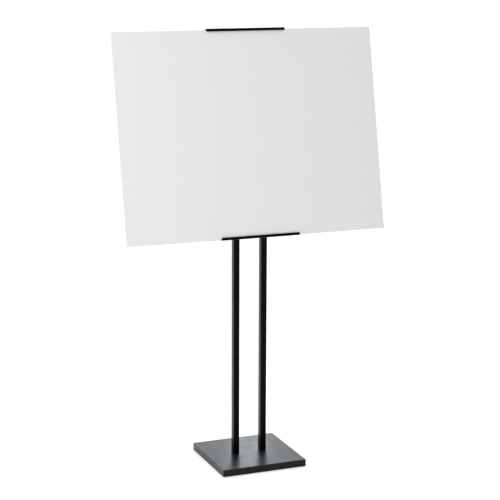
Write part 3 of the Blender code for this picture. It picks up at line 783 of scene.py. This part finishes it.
def build_base():
    """Pressed cover, ballast plate, and four rubber feet with their screws."""
    bolts = list(pair("post_bolt", WORLD, DOWN).values())
    low, high = extent("base_cover")
    side = high.x - low.x
    inner = side - 2 * COVER_SHEET
    ceiling = high.z - COVER_SHEET
    loops = []
    for inset, corner, z in (
        (COVER_FILLET, MIN_CORNER, ceiling),
        (0.3 * COVER_FILLET, MIN_CORNER, ceiling - 0.3 * COVER_FILLET),
        (0.0, MIN_CORNER * 2, ceiling - COVER_FILLET),
        (0.0, MIN_CORNER * 2, low.z),
    ):
        loops.append(rounded_rectangle(inner - 2 * inset, inner - 2 * inset, corner, z))
    loops += prism(side, side, COVER_CORNER, low.z, high.z, 0.0003, COVER_EDGE)
    # the same powder coat as the posts, painted lighter and glossier: painted light on the base
    coat = powder_coat("base_powder_coat_painted_light", *BASE_COAT_PAINTED_LIGHT)
    add("base_cover", loft(loops), WORLD, finish=coat, cutters=drilled(bolts, WORLD))

    corners = [name.removeprefix("foot_screw_") for name in body_of if name.startswith("foot_screw_")]
    screws = {corner: Fastener(f"foot_screw_{corner}", WORLD, DOWN) for corner in corners}
    middle, half = boxed("ballast_plate", WORLD)
    plate = loft(prism(2 * half.x, 2 * half.y, BALLAST_CORNER, -half.z, half.z, PLATE_EDGE))
    add("ballast_plate", plate, middle, cutters=drilled(bolts + list(screws.values()), middle))

    for corner, screw in screws.items():
        low, high = extent(f"foot_{corner}")
        add(f"foot_{corner}", foot(low, high, screw), shifted(WORLD, (*screw.place.translation.xy, 0)))
        add(f"foot_screw_{corner}", socket_screw(screw), screw.place)


def foot(low, high, screw):
    """A rubber foot with a recess for its screw and three grooves round its tread."""
    radius = (high.x - low.x) / 2
    pocket = screw.head_radius + 0.0006
    seat = screw.place.translation.z + GAP
    bore = screw.radius + GAP
    profile = [(pocket, low.z)]
    for groove in range(1, 4):
        at = pocket + groove * FOOT_GROOVE_PITCH
        profile += [(at - FOOT_GROOVE, low.z), (at, low.z + 1.5 * FOOT_GROOVE), (at + FOOT_GROOVE, low.z)]
    profile += [
        (radius - 0.0012, low.z),
        (radius - 0.0003, low.z + 0.0012),
        (radius, low.z + 0.003),
        (radius - 0.0002, low.z + 0.006),
        (radius - 0.001, high.z),
        (bore, high.z),
        (bore, seat),
        (pocket, seat),
    ]
    return turned(profile, RIM, ring=True)


def ridged_plug(width, depth, corner, bottom, top, ridges=3, middle=(0.0, 0.0)):
    """Loops up a push-in spigot whose soft ridges grip the tube."""
    pitch = (top - bottom) / ridges
    stations = [(PLUG_TIP, bottom)]
    for ridge in range(ridges):
        for share, inset in ((0.15, PLUG_SLACK), (0.50, 0.0), (0.65, 0.0), (0.80, PLUG_SLACK)):
            stations.append((inset, bottom + pitch * (ridge + share)))
    stations.append((PLUG_SLACK, top))
    return [rounded_rectangle(width - 2 * ease, depth - 2 * ease, corner, z, middle) for ease, z in stations]


def build_posts():
    """Two square posts with their end fittings, and the spreader between them with its rubber stop."""
    pivot = Fastener("pivot_bolt", WORLD, LEFT)
    screws = pair("spreader_screw", WORLD)
    stop = Fastener("stop_bumper", WORLD, FRONT)
    bar, half = boxed("spreader_bar", WORLD, RIGHT)
    mesh = loft(prism(2 * half.x, 2 * half.y, SPREADER_CORNER, -half.z, half.z, 0.0005))
    cutters = [screw.drill(bar, past=0.002) for screw in screws.values()] + [stop.drill(bar, past=0.01)]
    add("spreader_bar", mesh, bar, cutters=cutters)
    profile = [
        (stop.radius * 0.5, -stop.length),
        (stop.radius * 1.06, -stop.length + 0.0016),
        (stop.radius * 0.8, -stop.length + 0.0018),
        (stop.radius * 0.8, 0.0),
        (stop.head_radius, 0.0),
        (stop.head_radius, stop.head_height * 0.55),
        (stop.head_radius * 0.85, stop.head_height),
        (stop.head_radius * 0.30, stop.head_height),
    ]
    add("stop_bumper", turned(profile, 0.0007), stop.place)

    for side, bolt in pair("post_bolt", WORLD, DOWN).items():
        low, high = extent(f"post_{side}")
        rim = high.z + GAP
        place = shifted(WORLD, (*centre(f"post_{side}").xy, 0))
        mesh = tube(*across(f"post_{side}"), POST_WALL, POST_CORNER, low.z, high.z)
        add(f"post_{side}", mesh, place, cutters=drilled([pivot, screws[side]], place))
        add(f"spreader_screw_{side}", socket_screw(screws[side]), screws[side].place)
        add(f"post_bolt_{side}", hex_bolt(bolt), bolt.place)
        add(f"post_washer_{side}", *flat_ring(f"post_washer_{side}", WORLD, UP))

        low, high = extent(f"post_insert_{side}")
        bore = across(f"post_insert_{side}")
        loops = prism(*bore, INSERT_CORNER, low.z, high.z, PLATE_EDGE, steps=11)
        loops += thread(bolt.radius + GAP, low.z, high.z, internal=True)[::-1]
        add(f"post_insert_{side}", loft(loops, ring=True), place)

        low, high = extent(f"post_cap_{side}")
        loops = ridged_plug(*bore, INSERT_CORNER, low.z, rim)
        loops += prism(*across(f"post_cap_{side}"), POST_CORNER, rim, high.z, RIM, 0.0011)
        loops.append(rounded_rectangle(0.004, 0.004, 0.001, high.z))
        add(f"post_cap_{side}", loft(loops), place)


def build_pivot():
    """The tilt bolt, its washers, and the knob that clamps it."""
    bolt = Fastener("pivot_bolt", WORLD, LEFT)
    add("pivot_bolt", socket_screw(bolt, PIVOT_BOLT_THREAD, ROUND), bolt.place)
    for node in ("friction_washer_left", "friction_washer_right", "pivot_washer"):
        add(node, *flat_ring(node, WORLD, RIGHT))
    axis = aimed(WORLD, centre("tilt_knob_insert"), RIGHT)
    add_knob("tilt_knob", axis, "tilt_knob_insert")

    low, high = extent("tilt_knob_insert", axis)
    groove = ((0.45, 0.0), (0.47, 0.0007), (0.53, 0.0007), (0.55, 0.0))
    loops = []
    for share, inset in ((0.0, 0.0006), (0.03, 0.0002), *groove, (0.97, 0.0002), (1.0, 0.0006)):
        def reach(angle, inset=inset):
            return high.x - inset - KNURL_DEPTH * (0.5 - 0.5 * math.cos(KNURLS * angle))
        loops.append(ring_of(reach, low.z + (high.z - low.z) * share, ROUND_INSERT))
    loops += thread(bolt.radius + GAP, low.z, high.z, ROUND_INSERT, internal=True)[::-1]
    add("tilt_knob_insert", loft(loops, ring=True), axis)


def add_knob(node, axis, core):
    """A seven-lobed hand knob on an axis, bored for the insert or stud at its core."""
    profile = levels(node, axis)
    base, height = profile[0][0], profile[-1][0] - profile[0][0]
    radius = max(reach for _, reach in profile)
    inner = levels(core, axis)
    bore = max(reach for _, reach in inner) + GAP
    depth = inner[-1][0] - base + GAP
    hub = radius * 0.55
    neck = height * 0.32
    dish = radius * 0.40
    dome = 0.0006
    shoulder = height - dome
    outer = radius * 0.80

    def rounds(*stations):
        """Round loops at (radius, height) pairs."""
        return [circle(reach, z, ROUND_KNOB) for reach, z in stations]

    loops = rounds((bore, depth), (bore, 0.0004), (bore + 0.0004, 0.0))
    loops += rounds(*[(hub - inset, rise) for inset, rise in lower_rim(0.0010)])
    loops += rounds(*[(hub + inset, neck + rise) for inset, rise in upper_rim(0.0015)])
    loops += [lobed(radius, neck + rise, inset=inset) for inset, rise in lower_rim(radius * 0.12)]
    loops += [lobed(radius, shoulder + rise, inset=inset) for inset, rise in upper_rim(radius - outer)]
    for share in (0.25, 0.5, 0.75, 1.0):
        reach = outer * (1 - share) + (dish + 0.0006) * share
        loops.append(lobed(reach, shoulder + dome * share, depth=KNOB_LOBE_DEPTH * 1.2 * (1 - share)))
    loops += rounds((dish, height - 0.0001), (dish - 0.0004, height - 0.0009), (dish * 0.2, height - 0.0012))
    add(node, loft(loops), shifted(axis, (0, 0, base)))


# The head

def build_sleeve():
    """The mast's outer tube with its top bush and bottom plug."""
    low, high = extent("mast_sleeve", HEAD)
    middle = shifted(HEAD, (0, (low.y + high.y) / 2, 0))
    size = across("mast_sleeve", HEAD)
    bore = loft([circle(across("lock_stud", HEAD)[0] / 2 + GAP, z) for z in (-0.008, 0.008)])
    bore.transform(middle.inverted() @ aimed(HEAD, (0, high.y, centre("lock_stud", HEAD).z), REAR))
    cutters = drilled(rivets() + list(pair("ledge_screw", HEAD, FRONT).values()), middle) + [bore]
    add("mast_sleeve", tube(*size, SLEEVE_WALL, SLEEVE_CORNER, low.z, high.z), middle, cutters=cutters)

    liner = inside(size, SLEEVE_WALL)
    hole = [side + 2 * GAP for side in across("slide_bar", HEAD)]
    hole_at = (0.0, centre("slide_bar", middle).y)
    rim = high.z + GAP
    bush_low, bush_high = extent("sleeve_bush", HEAD)
    loops = [
        rounded_rectangle(*hole, 0.001, bush_low.z, hole_at),
        rounded_rectangle(*liner, LINER_CORNER, bush_low.z),
        rounded_rectangle(*liner, LINER_CORNER, rim),
    ]
    loops += prism(*size, SLEEVE_CORNER, rim, bush_high.z, RIM, CAP_EDGE)
    loops += [
        rounded_rectangle(hole[0] + 0.0006, hole[1] + 0.0006, 0.0013, bush_high.z, hole_at),
        rounded_rectangle(*hole, 0.001, bush_high.z - 0.0004, hole_at),
    ]
    add("sleeve_bush", loft(loops, ring=True), middle)

    plug_low, plug_high = extent("sleeve_plug", HEAD)
    rim = low.z - GAP
    loops = prism(*size, SLEEVE_CORNER, plug_low.z, rim, CAP_EDGE, RIM)
    loops += ridged_plug(*liner, LINER_CORNER, rim, plug_high.z, ridges=2)
    add("sleeve_plug", loft(loops), middle)


def build_bracket():
    """The bent bracket that tilts on the bolt, its spacer tube, and four blind rivets."""
    low, high = extent("tilt_bracket", HEAD)
    pivot = Fastener("pivot_bolt", WORLD, LEFT)
    half = BRACKET_SHEET / 2
    far = EAR_RADIUS + 0.001
    path = [
        (low.x + half, far),
        (low.x + half, low.y + half),
        (high.x - half, low.y + half),
        (high.x - half, far),
    ]
    section = sheet_outline(path, BRACKET_SHEET, BRACKET_BEND)
    sheet = loft([[(x, y, z) for x, y in section] for z in (low.z, high.z)])
    past = 0.003
    plate_back = low.y + BRACKET_SHEET
    side_view = [(plate_back, high.z), (low.y - 0.001, high.z), (low.y - 0.001, low.z), (plate_back, low.z)]
    slope = math.atan2(high.z - EAR_RADIUS, -plate_back)
    start = -math.pi / 2 + slope
    arc = [start + (math.pi - 2 * slope) * step / 24 for step in range(25)]
    side_view += [(EAR_RADIUS * math.cos(a), EAR_RADIUS * math.sin(a)) for a in arc]
    blank = extruded(side_view, low.x - past, high.x + past)
    add("tilt_bracket", sheet, HEAD, cutters=drilled(rivets() + [pivot], HEAD), keep=blank, bevel=0.0003)
    add("pivot_spacer_tube", *flat_ring("pivot_spacer_tube", HEAD, RIGHT))
    for number, rivet in enumerate(rivets(), 1):
        add(f"bracket_rivet_{number}", blind_rivet(rivet), rivet.place)


def blind_rivet(sizes):
    """A set blind rivet: domed head with the broken mandrel in its bore, and a bulbed tail."""
    radius, top, tail = sizes.head_radius, sizes.head_height, -sizes.length
    stem = radius * 0.53
    profile = [
        (0.0004, tail),
        (sizes.radius * 0.75, tail + 0.0002),
        (sizes.radius, tail + 0.0012),
        (sizes.radius, tail + 0.0022),
        (stem, tail + 0.0026),
        (stem, 0.0),
        (radius, 0.0),
        (radius, top * 0.2),
        (radius * 0.75, top * 0.75),
        (radius * 0.38, top),
        (radius * 0.24, top * 0.95),
        (radius * 0.22, top * 0.45),
        (radius * 0.19, top * 0.45),
        (radius * 0.12, top * 0.62),
    ]
    return turned(profile, 0.00025, count=ROUND_SMALL)


def build_slider():
    """The telescoping bar with its guide and cap."""
    low, high = extent("slide_bar", HEAD)
    middle = shifted(HEAD, (0, (low.y + high.y) / 2, 0))
    size = across("slide_bar", HEAD)
    screws = pair("clip_screw", HEAD, FRONT).values()
    mesh = tube(*size, BAR_WALL, BAR_CORNER, low.z, high.z)
    add("slide_bar", mesh, middle, cutters=drilled(screws, middle))

    plug = inside(size, BAR_WALL)
    guide_low, guide_high = extent("slide_guide", middle)
    guide_at = (0.0, (guide_low.y + guide_high.y) / 2)
    rim = low.z - GAP
    loops = prism(*across("slide_guide", middle), GUIDE_CORNER, guide_low.z, rim, middle=guide_at)
    loops += ridged_plug(*plug, PLUG_CORNER, rim, guide_high.z)
    relief = loft(prism(RIVET_RELIEF_WIDTH, RIVET_RELIEF_DEPTH, 0.0005, guide_low.z - 0.01, rim + 0.01))
    relief.transform(Matrix.Translation((0, size[1] / 2 + GAP + RIVET_RELIEF_DEPTH / 2, 0)))
    add("slide_guide", loft(loops), middle, cutters=[relief])

    cap_low, cap_high = extent("slide_bar_cap", middle)
    rim = high.z + GAP
    loops = ridged_plug(*plug, PLUG_CORNER, cap_low.z, rim)
    loops += prism(*size, BAR_CORNER, rim, cap_high.z, RIM, CAP_EDGE)
    add("slide_bar_cap", loft(loops), middle)


def channel_mesh(low, high, up, lip):
    """A bent J of sheet metal along x in the head's frame: rear flange, web, round-cornered front lip."""
    sheet = CHANNEL_SHEET
    web = low.z if up > 0 else high.z
    flange = high.z - low.z
    stations = lower_rim(LIP_CORNER)[::-1]
    loops = []
    for side in (-1, 1):
        for inward, drop in (stations if side < 0 else stations[::-1]):
            path = [
                (low.y + sheet / 2, lip - drop),
                (low.y + sheet / 2, sheet / 2),
                (high.y - sheet / 2, sheet / 2),
                (high.y - sheet / 2, flange - drop),
            ]
            x = low.x + inward if side < 0 else high.x - inward
            loops.append([(x, y, web + up * z) for y, z in sheet_outline(path, sheet, CHANNEL_BEND)])
    return loft(loops)


def add_channel(name, up):
    """A channel with its two ribbed grip strips and two screws."""
    node = f"{name}_channel"
    low, high = extent(node, HEAD)
    screws = pair(f"{name}_screw", HEAD, FRONT)
    web = low.z if up > 0 else high.z
    front = [up * (spot.z - web) for spot in points(node, HEAD) if spot.y < low.y + TIGHT]
    mesh = channel_mesh(low, high, up, max(front))
    add(node, mesh, HEAD, cutters=drilled(screws.values(), HEAD), bevel=0.00025)
    for side, screw in screws.items():
        add(f"{name}_screw_{side}", socket_screw(screw), screw.place)
        strip = f"{name}_grip_{side}"
        add(strip, *ribbed_strip(strip))


def ribbed_strip(node):
    """A rubber strip with ribs along its front, and its place."""
    place, half = boxed(node, HEAD)
    pitch = 2 * half.z / GRIP_RIBS
    valley = -half.y + 0.0010
    outline = [(half.y, -half.z), (half.y, half.z)]
    for rib in range(GRIP_RIBS):
        top = half.z - pitch * rib
        outline += [
            (valley, top),
            (-half.y, top - pitch * 0.25),
            (-half.y, top - pitch * 0.65),
            (valley, top - pitch * 0.90),
        ]
    return extruded(soften(outline, 0.0003, closed=True, steps=3), -half.x, half.x), place


def build_lock():
    """The threaded boss on the sleeve, and the knob whose stud locks the bar."""
    axis = aimed(HEAD, centre("lock_stud", HEAD), REAR)
    low, high = extent("lock_stud", axis)
    loops = [circle(high.x * 0.7, low.z)]
    loops += thread(high.x, low.z + 0.0009, high.z)
    add("lock_stud", loft(loops), axis)
    add_knob("lock_knob", axis, "lock_stud")

    low, boss = extent("lock_boss", axis)
    ease = 0.0005
    loops = [circle(boss.x - inset, low.z + rise) for inset, rise in lower_rim(ease)]
    loops += [circle(boss.x - inset, boss.z + rise) for inset, rise in upper_rim(ease)]
    loops += thread(high.x + GAP, low.z, boss.z, internal=True)[::-1]
    add("lock_boss", loft(loops, ring=True), axis)


def build_clip_spacer():
    """The plate between the bar and the clip."""
    middle, half = boxed("clip_spacer", HEAD, FRONT)
    mesh = loft(prism(2 * half.x, 2 * half.y, SPACER_CORNER, -half.z, half.z))
    add("clip_spacer", mesh, middle, cutters=drilled(pair("clip_screw", HEAD, FRONT).values(), middle))


def build_board():
    """Foam board: a cut core between two papers."""
    place, half = boxed("display_board", HEAD)
    # the back paper is a darker grey than the face paper: painted shade, so the strongly lit rear face reads as
    # dim as the front
    back_paper = board_paper("back_paper_greyed_as_painted_shade", grey(0.46, 0.01), grey(0.50, 0.01), 0.2)
    layers = {
        "board_face_paper": (-half.y, -half.y + BOARD_PAPER, 0.0, None),
        "board_foam_core": (-half.y + BOARD_PAPER, half.y - BOARD_PAPER, CORE_INSET, foam_core()),
        "board_back_paper": (half.y - BOARD_PAPER, half.y, 0.0, back_paper),
    }
    turn = Matrix.Rotation(math.pi / 2, 4, "X")
    for name, (front, back, inset, finish) in layers.items():
        size = (2 * (half.x - inset), 2 * (half.z - inset), 0.0006)
        mesh = loft(prism(*size, -back, -front, 0.00008))
        mesh.transform(turn)
        add("display_board", mesh, place, finish=finish, name=name)


# Floor, light and camera

def build_floor():
    """A pale studio floor that runs out past the camera's view."""
    finish = Finish("pale_studio_floor")
    material = finish.surface(
        Base_Color=finish.mix(finish.span(finish.noise(0.9)), grey(0.89), grey(0.91)),
        Roughness=finish.span(finish.noise(0.05), 0.60, 0.70),
        Specular_IOR_Level=0.2,
        Normal=finish.bump(finish.noise(0.004), 0.0001),
    )
    corners = [(x * FLOOR_REACH, y * FLOOR_REACH, 0) for x, y in ((-1, -1), (1, -1), (1, 1), (-1, 1))]
    mesh = bpy.data.meshes.new("floor")
    mesh.from_pydata(corners, [], [(0, 1, 2, 3)])
    mesh.materials.append(material)
    floor = bpy.data.objects.new("floor", mesh)
    bpy.context.scene.collection.objects.link(floor)


def build_world():
    """Soft studio light: bright overhead, dim in front, a bluish glow low behind. Seen directly, white."""
    world = bpy.data.worlds.new("studio")
    world.use_nodes = True
    bpy.context.scene.world = world
    nodes, links = world.node_tree.nodes, world.node_tree.links
    direction = nodes.new("ShaderNodeTexCoord").outputs["Generated"]

    def towards(aim, start, end, low, high):
        """Brightness that goes from low to high as the cosine to the aim goes from start to end."""
        cosine = nodes.new("ShaderNodeVectorMath")
        cosine.operation = "DOT_PRODUCT"
        cosine.inputs[1].default_value = Vector(aim).normalized()
        links.new(direction, cosine.inputs[0])
        node = nodes.new("ShaderNodeMapRange")
        links.new(cosine.outputs["Value"], node.inputs["Value"])
        for name, value in zip(("From Min", "From Max", "To Min", "To Max"), (start, end, low, high)):
            node.inputs[name].default_value = value
        return node.outputs["Result"]

    parts = [
        (WHITE, towards(REAR, -0.3, 1.0, WORLD_FRONT, WORLD_BACK)),
        (WHITE, towards(UP, 0.3, 1.0, 0.0, WORLD_OVERHEAD)),
        (PALE_BLUE, towards(GLOW_TOWARDS, GLOW_EDGE, GLOW_MIDDLE, 0.0, GLOW_POWER)),
    ]
    total = None
    for tint, strength in parts:
        light = nodes.new("ShaderNodeBackground")
        light.inputs["Color"].default_value = tint
        links.new(strength, light.inputs["Strength"])
        shine = light.outputs["Background"]
        if total:
            both = nodes.new("ShaderNodeAddShader")
            links.new(total, both.inputs[0])
            links.new(shine, both.inputs[1])
            shine = both.outputs["Shader"]
        total = shine
    backdrop = nodes["Background"]
    backdrop.inputs["Color"].default_value = WHITE
    seen = nodes.new("ShaderNodeMixShader")
    links.new(nodes.new("ShaderNodeLightPath").outputs["Is Camera Ray"], seen.inputs["Fac"])
    links.new(total, seen.inputs[1])
    links.new(backdrop.outputs["Background"], seen.inputs[2])
    links.new(seen.outputs["Shader"], nodes["World Output"].inputs["Surface"])


def add_softbox(name, at, aim, size, power, tint):
    """A square area light that faces a point, and that the camera doesn't see."""
    light = bpy.data.lights.new(name, "AREA")
    light.size = size
    light.energy = power
    light.color = tint[:3]
    lamp = bpy.data.objects.new(name, light)
    lamp.location = at
    lamp.visible_camera = False
    lamp.rotation_euler = (Vector(aim) - Vector(at)).to_track_quat("-Z", "Y").to_euler()
    bpy.context.scene.collection.objects.link(lamp)


def place_camera():
    """A long lens, nearly 2 m up, to the stand's front left."""
    camera = bpy.data.objects.new("camera", bpy.data.cameras.new("camera"))
    camera.data.lens = CAMERA_LENS
    camera.data.clip_end = CAMERA_REACH
    turn = Matrix.Rotation(CAMERA_TURN, 4, "Z") @ Matrix.Rotation(math.pi / 2 - CAMERA_DIP, 4, "X")
    camera.matrix_world = Matrix.Translation(CAMERA_AT) @ turn @ Matrix.Rotation(CAMERA_ROLL, 4, "Z")
    bpy.context.scene.collection.objects.link(camera)
    bpy.context.scene.camera = camera


place_camera()
build_floor()
build_world()
add_softbox("key_softbox", KEY_AT, KEY_AIM, KEY_SIZE, KEY_POWER, WHITE)
add_softbox("sheen_softbox", SHEEN_AT, SHEEN_AIM, SHEEN_SIZE, SHEEN_POWER, PALE_BLUE)
bpy.context.scene.view_settings.view_transform = "Standard"

build_base()
build_posts()
build_pivot()
build_sleeve()
build_bracket()
build_slider()
add_channel("ledge", 1)
add_channel("clip", -1)
build_clip_spacer()
build_lock()
build_board()
